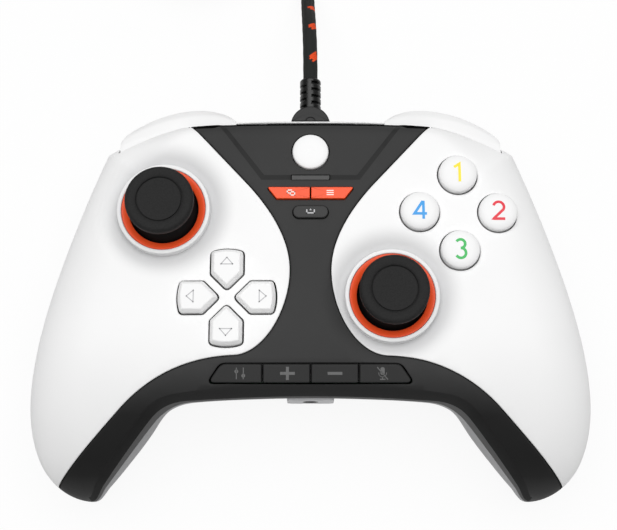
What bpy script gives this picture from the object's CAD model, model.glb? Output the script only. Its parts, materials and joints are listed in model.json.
"""Looks of the wired gamepad: shells, controls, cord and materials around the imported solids.

Shapes are worked out in millimetres, in the frame of the solids, and written to the meshes in metres.
"""

import json
import math

import bpy
import numpy as np
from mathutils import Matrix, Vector
from mathutils.geometry import delaunay_2d_cdt


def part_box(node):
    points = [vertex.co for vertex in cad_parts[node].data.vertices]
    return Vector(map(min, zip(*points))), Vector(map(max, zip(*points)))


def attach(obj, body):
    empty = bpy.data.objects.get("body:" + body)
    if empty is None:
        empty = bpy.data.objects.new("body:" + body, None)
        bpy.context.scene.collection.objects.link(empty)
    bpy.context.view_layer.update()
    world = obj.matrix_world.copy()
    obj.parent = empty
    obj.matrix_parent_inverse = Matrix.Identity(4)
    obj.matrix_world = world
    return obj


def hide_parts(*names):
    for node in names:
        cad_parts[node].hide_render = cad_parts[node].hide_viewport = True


MM = 0.001
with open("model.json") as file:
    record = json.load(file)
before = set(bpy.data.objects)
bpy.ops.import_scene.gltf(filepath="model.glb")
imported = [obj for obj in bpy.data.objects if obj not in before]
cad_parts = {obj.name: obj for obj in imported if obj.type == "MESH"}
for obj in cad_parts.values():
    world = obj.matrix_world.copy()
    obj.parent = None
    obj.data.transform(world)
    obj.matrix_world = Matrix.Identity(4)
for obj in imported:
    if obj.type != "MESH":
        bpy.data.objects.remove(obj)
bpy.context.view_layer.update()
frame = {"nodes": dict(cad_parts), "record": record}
NODES = frame["nodes"]


def corners(node):
    low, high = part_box(node)
    return np.array(low) / MM, np.array(high) / MM


def middle(node):
    low, high = corners(node)
    return (low + high) / 2


def top_of(node):
    return corners(node)[1][2]


def add_object(name, data):
    made = bpy.data.objects.new(name, data)
    bpy.context.scene.collection.objects.link(made)
    return made


def aim_at(thing, place, target):
    thing.location = place
    thing.rotation_euler = (Vector(target) - Vector(place)).to_track_quat("-Z", "Y").to_euler()


# Camera, at the photograph's viewing angle
CAMERA_AT = (-0.55, -59.9, 309.7)
CAMERA_AIM = (-0.55, 5.3, 42.0)
CAMERA_LENS = 60.9


def make_camera():
    data = bpy.data.cameras.new("camera")
    data.lens = CAMERA_LENS
    data.sensor_width = 36.0
    data.clip_start = 0.01
    camera = add_object("camera", data)
    aim_at(camera, Vector(CAMERA_AT) * MM, Vector(CAMERA_AIM) * MM)
    bpy.context.scene.camera = camera


# Driving sizes, in step with the solids
HALF_W = corners("back_shell")[1][0]
GRIP_REACH = -corners("back_shell")[0][1]
REAR_Y = corners("rear_bridge")[1][1]
WAIST_REACH = 28.0
FACE_H = 42.0
REAR_SEAM_H = FACE_H - 13.5
TIP_SEAM_H = 20.0
WALL = 2.2
EDGE_R_MID = 6.0
EDGE_R_GRIP = 16.0
EDGE_POWER = 2.3
WAIST_R_MID = 3.2
WAIST_R_ARM = 1.5
WAIST_POWER = 2.0
BACK_R = 14.0
BACK_POWER = 3.0
GRIP_WALL_POWER = 5.5
CROTCH_POWER = 2.4
SEAM_DIP = 6.0
SEAM_GAP = 0.1
CROWN = 3.0
GRIP_DROP = 16.0
FACE_DROP_Y = 10.0
HUMP_Y = 8.0
REST_Y = -GRIP_REACH + 17.3
BUMPER_IN_X = HALF_W - 54.8
BUMPER_OUT_X = HALF_W - 22.6
BUMPER_SPAN_X = HALF_W - 19.5
BUMPER_TOP_H = FACE_H - 6.0
LEFT_STICK = middle("left_stick_cap")[:2]
RIGHT_STICK = middle("right_stick_cap")[:2]
DPAD = np.array([middle("up_key")[0], middle("left_key")[1]])
GUIDE = middle("guide_button")[:2]
GUIDE_R = 4.9
FACE_NAMES = ["north", "east", "south", "west"]
FACE_PLACES = [middle(n + "_button")[:2] for n in FACE_NAMES]
FACE_R = 5.2
TRIM_REAR_Y = REAR_Y - 2.7
RELIEF_END_Y = corners("strain_relief")[1][1]


# Outline of the housing as Bezier curves between a few key points
def bezier(a, b, c, d, count):
    t = np.linspace(0, 1, count + 1)[1:, None]
    s = 1 - t
    a, b, c, d = (np.array(p, float) for p in (a, b, c, d))
    return s**3 * a + 3 * s * s * t * b + 3 * s * t * t * c + t**3 * d


def shifted(point, x, y):
    return (point[0] + x, point[1] + y)


REAR = (0, REAR_Y)
SHOULDER = (HALF_W - 18.5, REAR_Y - 9.2)
WIDE = (HALF_W, -GRIP_REACH + 24.1)
TIP = (HALF_W - 15.2, -GRIP_REACH)
TIP_IN = shifted(TIP, -3.8, 3.8)
CROTCH_A = (HALF_W - 32.5, -WAIST_REACH - 5.9)
CROTCH_B = (HALF_W - 42.5, -WAIST_REACH - 1.2)
WAIST = (0, -WAIST_REACH)
REAR_CURVE = np.vstack([
    [REAR],
    bezier(REAR, (SHOULDER[0] - 31, REAR_Y), shifted(SHOULDER, -11, 8.1), SHOULDER, 48),
])
OUTER = np.vstack([
    REAR_CURVE,
    bezier(SHOULDER, shifted(SHOULDER, 5.5, -13.4), shifted(WIDE, 0, 22), WIDE, 60),
    bezier(WIDE, shifted(WIDE, 0, -11.8), shifted(TIP, 10.2, 0.5), TIP, 28),
])
INNER = np.vstack([
    [WAIST],
    bezier(WAIST, shifted(CROTCH_B, -22, 1.2), shifted(CROTCH_B, -9, 0.7), CROTCH_B, 26),
    bezier(CROTCH_B, shifted(CROTCH_B, 5, -0.4), shifted(CROTCH_A, -2.4, 2.9), CROTCH_A, 12),
    bezier(CROTCH_A, shifted(CROTCH_A, 3, -3.6), shifted(TIP_IN, -3.5, 4.5), TIP_IN, 20),
    bezier(TIP_IN, shifted(TIP_IN, 1.1, -1.7), shifted(TIP, -2, -0.2), TIP, 8),
])


def mirrored(points):
    return points[::-1] * [-1, 1]


RIGHT_CHAIN = np.vstack([OUTER, INNER[::-1][1:]])
SILHOUETTE = np.vstack([RIGHT_CHAIN, mirrored(RIGHT_CHAIN)[1:-1]])


def unit(vectors):
    return vectors / np.linalg.norm(vectors, axis=1)[:, None]


def loop_steps(loop):
    """Directions of a closed loop's sides, before and after each point."""
    return unit(loop - np.roll(loop, 1, axis=0)), unit(np.roll(loop, -1, axis=0) - loop)


def right_of(steps):
    return np.stack([steps[:, 1], -steps[:, 0]], axis=1)


# The silhouette runs clockwise, so its inside is on its right
BEFORE, AFTER = loop_steps(SILHOUETTE)
INWARD = right_of(unit(BEFORE + AFTER))
INNER_BACK = slice(len(OUTER) - 1, len(RIGHT_CHAIN))
ON_OUTER = np.ones(len(SILHOUETTE), bool)
ON_OUTER[len(OUTER):len(SILHOUETTE) - len(OUTER) + 1] = False
REAR_CHAIN = OUTER[:len(REAR_CURVE) + 20]


def rear_edge_y(x):
    return np.interp(x, REAR_CHAIN[:, 0], REAR_CHAIN[:, 1])


# Edge of the dark trim, right half, from its rear corner to beyond the grip
LIGHT_Y = GUIDE[1] - 7.3
TRIM_CORNER = (33.5, TRIM_REAR_Y)
TRIM_BEND = (16.8, LIGHT_Y - 2)
NECK = (5.4, 4.0)
TRIM_LOW = (20.0, -18.6)
TRIM_ARM = (HALF_W - 25.3, -WAIST_REACH - 4.4)
TRIM_TIP = (HALF_W - 8.0, -GRIP_REACH + 4.6)


def straight(a, b, step=1.2):
    a, b = np.array(a, float), np.array(b, float)
    count = max(1, round(float(np.linalg.norm(b - a)) / step))
    return a + (b - a) * np.linspace(0, 1, count + 1)[1:, None]


TRIM_HALF = np.vstack([
    [TRIM_CORNER],
    straight(TRIM_CORNER, TRIM_BEND),
    bezier(TRIM_BEND, (12.8, LIGHT_Y - 6.5), shifted(NECK, 0, 10), NECK, 26),
    bezier(NECK, shifted(NECK, 0, -10), (11.5, -18.1), TRIM_LOW, 30),
    bezier(TRIM_LOW, shifted(TRIM_LOW, 11, -0.3), shifted(TRIM_ARM, -8.7, 9.4), TRIM_ARM, 30),
    straight(TRIM_ARM, TRIM_TIP),
    straight(TRIM_TIP, shifted(TRIM_TIP, 10, -11.5)),
])
TRIM = np.vstack([
    TRIM_HALF,
    [shifted(TRIM_TIP, 10, -40)],
    mirrored(np.vstack([TRIM_HALF, [shifted(TRIM_TIP, 10, -40)]])),
])


# Flat geometry
def line_distance(points, line, closed=False):
    if closed:
        line = np.vstack([line, line[:1]])
    best = np.full(len(points), 1e9)
    for start, end in zip(line[:-1], line[1:]):
        span = end - start
        size = span @ span
        t = np.clip((points - start) @ span / size, 0, 1) if size > 0 else np.zeros(len(points))
        best = np.minimum(best, np.linalg.norm(points - start - t[:, None] * span, axis=1))
    return best


def inside(points, loop):
    x, y = points[:, 0], points[:, 1]
    odd = np.zeros(len(points), bool)
    for (ax, ay), (bx, by) in zip(loop, np.roll(loop, -1, axis=0)):
        if ay == by:
            continue
        crosses = (ay > y) != (by > y)
        odd ^= crosses & (x < (bx - ax) * (y - ay) / (by - ay) + ax)
    return odd


def in_any(points, loops):
    return np.any([inside(points, loop) for loop in loops], axis=0)


def loop_distance(points, loops):
    return np.min([line_distance(points, loop, True) for loop in loops], axis=0)


def signed_area(loop):
    x, y = loop[:, 0], loop[:, 1]
    return 0.5 * float(np.sum(x * np.roll(y, -1) - np.roll(x, -1) * y))


def grown(loop, distance):
    """A closed loop with each point moved outwards along its corner's bisector."""
    turn = 1 if signed_area(loop) > 0 else -1
    normal_a, normal_b = (turn * right_of(steps) for steps in loop_steps(loop))
    bisector = normal_a + normal_b
    size = np.maximum(np.sum(bisector * normal_a, axis=1), 0.5)
    return loop + distance * bisector / size[:, None]


def circle(place, radius, count=72):
    a = np.linspace(0, 2 * math.pi, count, endpoint=False)
    return np.stack([place[0] + radius * np.cos(a), place[1] + radius * np.sin(a)], axis=1)


def filleted(points, radii, steps):
    """A polygon whose corners are rounded, each by its own radius."""
    points = [np.array(p, float) for p in points]
    if isinstance(radii, (int, float)):
        radii = [radii] * len(points)
    out = []
    for i, (corner, radius) in enumerate(zip(points, radii)):
        to_a, to_b = points[i - 1] - corner, points[(i + 1) % len(points)] - corner
        reach_a, reach_b = np.linalg.norm(to_a), np.linalg.norm(to_b)
        half = math.acos(max(-1, min(1, float(to_a @ to_b) / (reach_a * reach_b)))) / 2
        cut = min(radius / max(math.tan(half), 1e-6), 0.49 * reach_a, 0.49 * reach_b)
        a, b = corner + to_a / reach_a * cut, corner + to_b / reach_b * cut
        for t in np.linspace(0, 1, steps + 1):
            out.append((1 - t) ** 2 * a + 2 * t * (1 - t) * corner + t * t * b)
    return np.array(out)


def dense(loop, step):
    """A closed loop with points added so that no side is longer than the step."""
    sides = zip(loop, np.roll(loop, -1, axis=0))
    return np.vstack([straight(a, b, step) for a, b in sides if np.any(a != b)])


def rectangle(x0, y0, x1, y1):
    return [(x0, y0), (x1, y0), (x1, y1), (x0, y1)]


def spin(degrees):
    """Matrix that turns rows of flat points by an angle."""
    c, s = math.cos(math.radians(degrees)), math.sin(math.radians(degrees))
    return np.array([[c, s], [-s, c]])


def extended(points, value):
    """Points with one more coordinate, the same for all."""
    return np.column_stack([points, np.full(len(points), value)])


def moved_in(line, depth):
    """A line near the rear edge, moved towards the front of the housing."""
    return line - np.column_stack([np.zeros(len(line)), depth])


def up_to_rear(line):
    """The plan between a line near the rear edge and a place beyond that edge."""
    return np.vstack([line, line[::-1] * [1, 0] + [0, REAR_Y + 9]])


# Heights of the two shells. Each ramp is where a change begins, measured from the middle plane, and its run
HUMP_RAMP = (24.0, 22.0)
EDGE_RAMP = (33.0, 18.0)
WAIST_RAMP = (14.0, 22.0)
GRIP_WALL_RAMP = (39.0, 10.0)
SEAM_DIP_RAMP = (32.0, 10.0)
SEAM_DIP_W = 16.0


def smooth(t):
    u = np.clip(t, 0, 1)
    return u * u * (3 - 2 * u)


def ramp(x, start, run):
    return smooth((np.abs(x) - start) / run)


def swell(u, power):
    return (1 - (1 - np.clip(u, 0, 1)) ** power) ** (1 / power)


def right_half(points):
    return np.abs(points) * [1, 0] + points * [0, 1]


def seam_at(y):
    return REAR_SEAM_H - (REAR_SEAM_H - TIP_SEAM_H) * (np.maximum(0, -y) / GRIP_REACH) ** 2


def face_at(x, y):
    fall = np.maximum(0, -y - FACE_DROP_Y) / (GRIP_REACH - FACE_DROP_Y)
    return FACE_H - CROWN * (x / HALF_W) ** 2 - GRIP_DROP * fall**2


def floor_at(x, y):
    """The back is flat on its hump and on the grips at one place, and rises from there."""
    middle_floor = 17 * (np.maximum(0, HUMP_Y - y) / 36) ** 1.5
    grip_floor = np.where(y > REST_Y, 9 * ((y - REST_Y) / 80) ** 2, 5 * ((REST_Y - y) / 17) ** 2)
    w = ramp(x, *HUMP_RAMP)
    return (1 - w) * middle_floor + w * grip_floor


def edge_r(x):
    return EDGE_R_MID + (EDGE_R_GRIP - EDGE_R_MID) * ramp(x, *EDGE_RAMP)


def waist_r(x):
    return WAIST_R_MID - (WAIST_R_MID - WAIST_R_ARM) * ramp(x, *WAIST_RAMP)


def back_r(x):
    return np.full(len(x), BACK_R)


def back_power(x):
    """The inner walls of the grips go down more steeply than the rest of the back."""
    return CROTCH_POWER + (GRIP_WALL_POWER - CROTCH_POWER) * ramp(x, *GRIP_WALL_RAMP)


def seam_height(x, y, waist):
    """Height of the joint between the covers, which dips along the inner walls of the grips."""
    return seam_at(y) - SEAM_DIP * ramp(x, *SEAM_DIP_RAMP) * (1 - smooth(waist / SEAM_DIP_W))


def edge_distances(points):
    near = right_half(points)
    return line_distance(near, OUTER), line_distance(near, INNER)


def front_height(points, depth=0.0):
    x, y = points[:, 0], points[:, 1]
    rear, waist = edge_distances(points)
    rise = swell((rear - depth) / edge_r(x), EDGE_POWER) * swell((waist - depth) / waist_r(x), WAIST_POWER)
    seam = seam_height(x, y, waist) + SEAM_GAP
    return seam + (face_at(x, y) - depth - seam) * rise


def back_height(points, depth=0.0):
    x, y = points[:, 0], points[:, 1]
    rear, waist = edge_distances(points)
    fall = swell((rear - depth) / BACK_R, BACK_POWER) * swell((waist - depth) / BACK_R, back_power(x))
    seam = seam_height(x, y, waist) - SEAM_GAP
    return seam - (seam - depth - floor_at(x, y)) * fall


def face_height(x, y):
    return float(front_height(np.array([[x, y]], float))[0])


# Materials
def linear(rgb):
    out = []
    for value in rgb:
        c = value / 255
        out.append(c / 12.92 if c <= 0.04045 else ((c + 0.055) / 1.055) ** 2.4)
    return (*out, 1.0)


class Shader:
    """A node material with short names for its sockets."""

    def __init__(self, name):
        self.material = bpy.data.materials.new(name)
        self.material.use_nodes = True
        self.tree = self.material.node_tree
        self.surface = self.tree.nodes["Principled BSDF"]

    def node(self, kind, **values):
        made = self.tree.nodes.new(kind)
        for key, value in values.items():
            setattr(made, key, value)
        return made

    def join(self, source, target):
        self.tree.links.new(source, target)

    def feed(self, socket, source):
        self.join(source, self.surface.inputs[socket])

    def coords(self, kind="Object"):
        return self.node("ShaderNodeTexCoord").outputs[kind]

    def split(self, kind="Object"):
        made = self.node("ShaderNodeSeparateXYZ")
        self.join(self.coords(kind), made.inputs[0])
        return made.outputs

    def noise(self, scale, detail=2.0):
        made = self.node("ShaderNodeTexNoise")
        made.inputs["Scale"].default_value = scale
        made.inputs["Detail"].default_value = detail
        self.join(self.coords(), made.inputs["Vector"])
        return made.outputs["Fac"]

    def math(self, operation, a, b=0.0):
        made = self.node("ShaderNodeMath", operation=operation)
        for socket, value in zip(made.inputs, (a, b)):
            if isinstance(value, (int, float)):
                socket.default_value = value
            else:
                self.join(value, socket)
        return made.outputs[0]

    def spread(self, value, low, high, from_low=0.3, from_high=0.7):
        made = self.node("ShaderNodeMapRange")
        ends = {"From Min": from_low, "From Max": from_high, "To Min": low, "To Max": high}
        for key, number in ends.items():
            made.inputs[key].default_value = number
        self.join(value, made.inputs["Value"])
        return made.outputs["Result"]

    def mix(self, factor, a, b):
        made = self.node("ShaderNodeMix", data_type="RGBA")
        first, second = [s for s in made.inputs if s.type == "RGBA"]
        for socket, value in ((first, a), (second, b)):
            if isinstance(value, tuple):
                socket.default_value = value
            else:
                self.join(value, socket)
        self.join(factor, made.inputs["Factor"])
        return [s for s in made.outputs if s.type == "RGBA"][0]

    def bump(self, height, strength, distance):
        made = self.node("ShaderNodeBump")
        made.inputs["Strength"].default_value = strength
        made.inputs["Distance"].default_value = distance
        self.join(height, made.inputs["Height"])
        self.feed("Normal", made.outputs["Normal"])

    def set(self, **values):
        for key, value in values.items():
            self.surface.inputs[key.replace("_", " ")].default_value = value


GRADE_Y = (-33.5, -22.0)
TIP_GRADE_Y = (-GRIP_REACH - 0.5, -GRIP_REACH + 6.5)
CLOUD_SCALE = 45.0
FINE_SCALE = 900.0


def scaled(tone, share):
    return (*(min(1, c * share) for c in tone[:3]), 1.0)


def moulded(
    name, rgb, roughness, grain_mm=0.35, grain=0.12, mottle=0.05, specular=0.5,
    speckle=False, graded=None, shaded=None,
):
    """Moulded plastic or rubber: fine grain, slight mottling and uneven gloss.

    A speckled one takes its mottling from the grain, a graded one passes to a second tone along the grips and
    back at their tips, and a shaded one to a second tone in the dishes around the sticks.
    """
    made = Shader(name)
    tone = linear(rgb)
    fine = made.noise(1 / (grain_mm * MM), 3.0)
    cloud = made.spread(fine if speckle else made.noise(CLOUD_SCALE), 0.0, 1.0)
    colour = made.mix(cloud, scaled(tone, 1 - mottle), scaled(tone, 1 + mottle))
    if graded:
        y = made.split()[1]
        for (low, high), second in ((GRADE_Y, graded), (TIP_GRADE_Y, rgb)):
            share = made.spread(y, 1.0, 0.0, low * MM, high * MM)
            colour = made.mix(share, colour, linear(second))
    if shaded:
        depth = made.node("ShaderNodeAttribute", attribute_name="shade").outputs["Fac"]
        colour = made.mix(depth, colour, linear(shaded))
    made.feed("Base Color", colour)
    made.feed("Roughness", made.spread(fine, roughness - 0.06, roughness + 0.06))
    made.bump(fine, grain, 0.04 * MM)
    made.set(Specular_IOR_Level=specular)
    return made.material


def charcoal(name, level, roughness, grain, specular, graded=None):
    """A dark grey plastic; its levels are those of all three channels."""
    second = graded and (graded,) * 3
    return moulded(name, (level,) * 3, roughness, 0.25, grain, specular=specular, graded=second)


def uneven(name, rgb, share, gloss):
    """A tone with fine darker places, and its gloss between two values."""
    made = Shader(name)
    tone = linear(rgb)
    cloud = made.noise(FINE_SCALE)
    made.feed("Base Color", made.mix(cloud, scaled(tone, share), tone))
    made.feed("Roughness", made.spread(cloud, *gloss))
    return made, cloud


def brushed(name, rgb):
    """Metal with fine streaks."""
    made, streak = uneven(name, rgb, 0.85, (0.22, 0.4))
    made.set(Metallic=1.0)
    made.bump(streak, 0.05, 0.02 * MM)
    return made.material


def printed(name, rgb):
    """Ink or paint."""
    return uneven(name, rgb, 0.94, (0.4, 0.5))[0].material


WHITE = moulded(
    "white_plastic", (238, 238, 238), 0.42, grain=0.05, mottle=0.01, specular=0.3, shaded=(192, 192, 193),
)
GAP = moulded("gap_plastic", (46, 46, 47), 0.7, specular=0.1)
TRIM_DARK = charcoal("charcoal_plastic", 54, 0.55, 0.08, 0.13, 29)
TRIM_BAND = charcoal("charcoal_band", 42, 0.55, 0.08, 0.12)
TRIM_EDGE = charcoal("charcoal_edge", 58, 0.8, 0.05, 0.02, 42)
TRIM_WALL = charcoal("charcoal_wall", 92, 0.6, 0.08, 0.04)
KEY_DARK = charcoal("charcoal_keys", 47, 0.55, 0.06, 0.13)
BLACK = moulded("black_plastic", (9, 9, 9), 0.45, grain=0.06, specular=0.2)
BLACK_EDGE = moulded("black_edge", (9, 9, 9), 0.9, grain=0.03, specular=0.01)
SHARE_DARK = charcoal("charcoal_share", 60, 0.5, 0.06, 0.15)
GREY = moulded("grey_plastic", (150, 150, 152), 0.5, grain_mm=0.5, grain=0.2)
LIGHT = moulded("light_bar_lens", (58, 58, 58), 0.35, grain=0.02, specular=0.3)
ORANGE = moulded("orange_plastic", (243, 84, 38), 0.4, grain=0.04, mottle=0.03, specular=0.35)
RUBBER = moulded(
    "stick_rubber", (30, 30, 30), 0.75, grain_mm=0.4, grain=0.7, mottle=0.4, specular=0.25, speckle=True,
)
RELIEF = moulded("gloss_rubber", (13, 13, 13), 0.28, grain=0.03, specular=0.4)
BOSS = moulded("boss_plastic", (196, 196, 198), 0.5, grain=0.08)
SILICONE = moulded("silicone", (205, 205, 208), 0.6)
BOARD = moulded("board", (24, 84, 46), 0.45)
STEEL = brushed("steel", (190, 192, 196))
ICON_WHITE = printed("icon_white", (250, 238, 232))
ICON_GREY = printed("icon_grey", (88, 88, 88))
ICON_PALE = printed("icon_pale", (186, 186, 188))
NUMERAL_INKS = {
    "north": printed("ink_yellow", (248, 226, 40)),
    "east": printed("ink_red", (226, 28, 52)),
    "south": printed("ink_green", (52, 184, 88)),
    "west": printed("ink_blue", (48, 156, 230)),
}

# Braided cord: strands in two helices, two over and two under, with patches of orange yarn
BRAID_STRANDS = 16.0
BRAID_PITCH = 1400.0
BRAID_START = 0.0025


def braid():
    made = Shader("braid")
    around, along = made.split("UV")[:2]
    climb = made.math("MULTIPLY", made.math("SUBTRACT", along, BRAID_START), BRAID_PITCH)
    strand = made.math("MULTIPLY", around, BRAID_STRANDS)
    first = made.math("ADD", strand, climb)
    second = made.math("SUBTRACT", strand, climb)
    cells = [made.math("FLOOR", value) for value in (first, second)]
    pair = made.math("FLOOR", made.math("MULTIPLY", made.math("ADD", cells[0], cells[1]), 0.5))
    over = made.math("FLOORED_MODULO", pair, 2.0)
    ridges = [made.math("PINGPONG", value, 0.5) for value in (first, second)]
    picked = made.node("ShaderNodeMix", data_type="FLOAT")
    made.join(over, picked.inputs["Factor"])
    made.join(ridges[0], picked.inputs[2])
    made.join(ridges[1], picked.inputs[3])
    ridge = made.math("MULTIPLY", picked.outputs[0], 2.0)
    step = made.math("FLOORED_MODULO", cells[0], 2.0)
    in_first = made.math("LESS_THAN", made.math("FLOORED_MODULO", cells[0], BRAID_STRANDS), 3.5)
    teeth = made.math("FLOORED_MODULO", made.math("ADD", cells[1], step), BRAID_STRANDS)
    patch = made.math("MULTIPLY", in_first, made.math("LESS_THAN", teeth, 5.5))
    outside = made.math("GREATER_THAN", made.split()[1], RELIEF_END_Y * MM)
    patch = made.math("MULTIPLY", patch, outside)
    wool = made.math("MULTIPLY", ridge, made.spread(made.noise(2600.0), 0.7, 1.1))
    dark = made.mix(wool, linear((20, 21, 21)), linear((50, 52, 51)))
    bright = made.mix(wool, linear((214, 62, 20)), linear((250, 92, 44)))
    made.feed("Base Color", made.mix(patch, dark, bright))
    made.bump(ridge, 0.7, 0.2 * MM)
    made.set(Roughness=0.75, Specular_IOR_Level=0.2)
    return made.material


BRAID = braid()


# Mesh helpers
def mesh_object(name, points, faces, materials, body, angle, face_materials=None):
    """A piece in millimetres, riding on a body, with its sharp edges found by angle."""
    mesh = bpy.data.meshes.new(name)
    mesh.from_pydata([tuple(float(c) * MM for c in p) for p in points], [], [tuple(f) for f in faces])
    mesh.validate()
    for material in materials if isinstance(materials, list) else [materials]:
        mesh.materials.append(material)
    if face_materials is not None:
        mesh.polygons.foreach_set("material_index", [int(v) for v in face_materials])
    mesh.shade_smooth()
    mesh.set_sharp_from_angle(angle=math.radians(angle))
    mesh.update()
    piece = add_object(name, mesh)
    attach(piece, body)
    return piece


def lathe(name, profile, place, materials, body, count=96):
    """A turned piece about a vertical line; its profile of (radius, height) is closed or ends on the axis."""
    points, faces, rings = [], [], []
    for radius, height in profile:
        on_axis = radius < 1e-6
        ring = [(0.0, 0.0)] if on_axis else circle((0, 0), radius, count)
        rings.append(range(len(points), len(points) + len(ring)))
        points.extend((place[0] + x, place[1] + y, place[2] + height) for x, y in ring)
    closed = len(rings[0]) > 1
    for a, b in zip(rings, rings[1:] + (rings[:1] if closed else [])):
        for k in range(count):
            n = (k + 1) % count
            if len(a) == 1:
                faces.append((a[0], b[n], b[k]))
            elif len(b) == 1:
                faces.append((a[k], a[n], b[0]))
            else:
                faces.append((a[k], a[n], b[n], b[k]))
    return mesh_object(name, points, faces, materials, body, 30)


def arc(center, radius, start, end, steps):
    """Points on an arc, angles in degrees from the first axis towards the second."""
    return [
        (center[0] + radius * math.cos(math.radians(a)), center[1] + radius * math.sin(math.radians(a)))
        for a in np.linspace(start, end, steps + 1)
    ]


def stacked(count, rows, first=0):
    """Faces of a solid through rows of points: its first end, its bands from row to row, and its last end."""
    faces = [tuple(range(first, first + count))[::-1]]
    for low in range(first, first + (rows - 1) * count, count):
        high = low + count
        for k in range(count):
            n = (k + 1) % count
            faces.append((low + k, low + n, high + n, high + k))
    faces.append(tuple(range(first + (rows - 1) * count, first + rows * count)))
    return faces


def capped(name, loops, materials, body, angle=38, tag=None):
    """A solid through stacked closed loops of 3-D points, with flat ends; tag gives each band's material."""
    count, bands = len(loops[0]), len(loops) - 1
    tags = [tag(i) if tag else 0 for i in range(bands) for _ in range(count)]
    faces = stacked(count, len(loops))
    return mesh_object(name, np.vstack(loops), faces, materials, body, angle, [0, *tags, 0])


def counter_clockwise(loop):
    return loop if signed_area(loop) > 0 else loop[::-1]


def rounded(edge):
    """Rows (inset, depth below the top) of a rounded top edge."""
    turns = [math.radians(a) for a in (0, 22.5, 45, 67.5, 90)]
    return [(edge * (1 - math.cos(a)), edge * (1 - math.sin(a))) for a in turns]


def shrinking(outline):
    """A function that gives an outline, shrunk by an inset."""
    whole = counter_clockwise(np.array(outline, float))

    def shrunk(inset):
        return grown(whole, -inset) if inset else whole

    return shrunk


def key_loops(shrunk, low, top, rows):
    """Loops of a key: straight sides, the rows of its top edge, and smaller loops over its top."""
    center = shrunk(0.0).mean(axis=0)
    loops = [extended(shrunk(0.0), low)] + [extended(shrunk(inset), top - depth) for inset, depth in rows]
    last = loops[-1][:, :2]
    return loops + [extended(last + (center - last) * share, top) for share in (0.25, 0.5, 0.75)]


def flange_tag(i):
    """The first four bands of a key's loops have the second material."""
    return int(i < 4)


# Shells: one flat drawing of the front is cut into triangles, and each piece takes its own share of them
TRIM_GAP = 0.1
BEVEL_SHELL = 0.3
BEVEL_TRIM = 0.4
BEVEL_KEY_HOLE = 0.2
BEVEL_REAR = 0.35
BEVEL_STEPS = (0.0, 0.12, 0.4, 1.0)
REAR_STEPS = (0.0, 0.2, 0.5, 1.0)
GRID = 2.0
GRID_CLEAR = 0.9
COLUMN_STEP = 0.7
SLOT_LIP_H = BUMPER_TOP_H + 0.4
SLOT_FROM_X = BUMPER_IN_X - 0.2
SLOT_TO_X = BUMPER_OUT_X + 0.2
SLOT_DEPTH = 4.6
COLLAR_R = 11.35
COLLAR_WALL = 1.15
DISH_DEPTH = 2.7
DISH_WIDTH = 7.2
DISH_RINGS = (0.12, 0.3, 0.5, 0.7, 0.88, 1.0)
PANEL_DEPTH = 0.5
PANEL_BAND = 1.5
BRIDGE_X = BUMPER_IN_X - 0.3
BRIDGE_Y = TRIM_REAR_Y + 0.1


class Drawing:
    """Points and lines of a flat drawing, collected for one triangulation."""

    def __init__(self):
        self.points = []
        self.lines = []

    def add(self, points, closed=False, kept=None):
        kept = np.ones(len(points), bool) if kept is None else kept
        first = len(self.points)
        ids = first + np.cumsum(kept) - 1
        self.points.extend(map(tuple, points[kept]))
        last = len(points) if closed else len(points) - 1
        for i in range(last):
            n = (i + 1) % len(points)
            if kept[i] and kept[n]:
                self.lines.append((int(ids[i]), int(ids[n])))

    def add_column(self, x, low):
        self.add(np.array([(x, y) for y in np.arange(low, REAR_Y + 1, COLUMN_STEP)]))

    def fill(self):
        """Points on a triangular grid, away from the lines."""
        rows = np.arange(-GRIP_REACH, REAR_Y, GRID * 0.866)
        across = np.arange(-HALF_W, HALF_W, GRID)
        spots = np.array([(x + (GRID / 2 if i % 2 else 0), y) for i, y in enumerate(rows) for x in across])
        spots = spots[inside(spots, SILHOUETTE)]
        drawn = np.array(self.points)
        far = np.array([np.min(np.sum((drawn - s) ** 2, axis=1)) > GRID_CLEAR * GRID_CLEAR for s in spots])
        self.points.extend(map(tuple, spots[far]))

    def triangles(self):
        points, _, faces, *_ = delaunay_2d_cdt([Vector(p) for p in self.points], self.lines, [], 0, 1e-4)
        flat = np.array([tuple(v) for v in points])
        faces = np.array(faces)
        a, b, c = flat[faces[:, 0]], flat[faces[:, 1]], flat[faces[:, 2]]
        turn = (b[:, 0] - a[:, 0]) * (c[:, 1] - a[:, 1]) - (b[:, 1] - a[:, 1]) * (c[:, 0] - a[:, 0])
        faces[turn < 0] = faces[turn < 0][:, ::-1]
        faces = faces[np.abs(turn) > 1e-9]
        return flat, faces


EDGE_STEPS = 13


def loop_share(k, steps, power):
    """How far in from the silhouette an edge loop lies, as a share of the edge's radius."""
    return 1 - math.cos(math.pi / 2 * k / steps) ** (2 / power)


EDGE_SHARE = loop_share(EDGE_STEPS - 1, EDGE_STEPS, EDGE_POWER)


def add_edge_loops(drawing, outer_radius, inner_radius, power, steps):
    """Lines that follow the silhouette inwards, close together where the edge is steep."""
    drawing.add(SILHOUETTE, closed=True)
    for k in range(1, steps):
        u = loop_share(k, steps, power)
        x = SILHOUETTE[:, 0]
        reach = u * np.where(ON_OUTER, outer_radius(x), inner_radius(x))
        moved = SILHOUETTE + INWARD * reach[:, None]
        rear, waist = edge_distances(moved)
        share = np.minimum(rear / outer_radius(moved[:, 0]), waist / inner_radius(moved[:, 0]))
        drawing.add(moved, closed=True, kept=share > 0.96 * u - 0.002)


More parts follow.
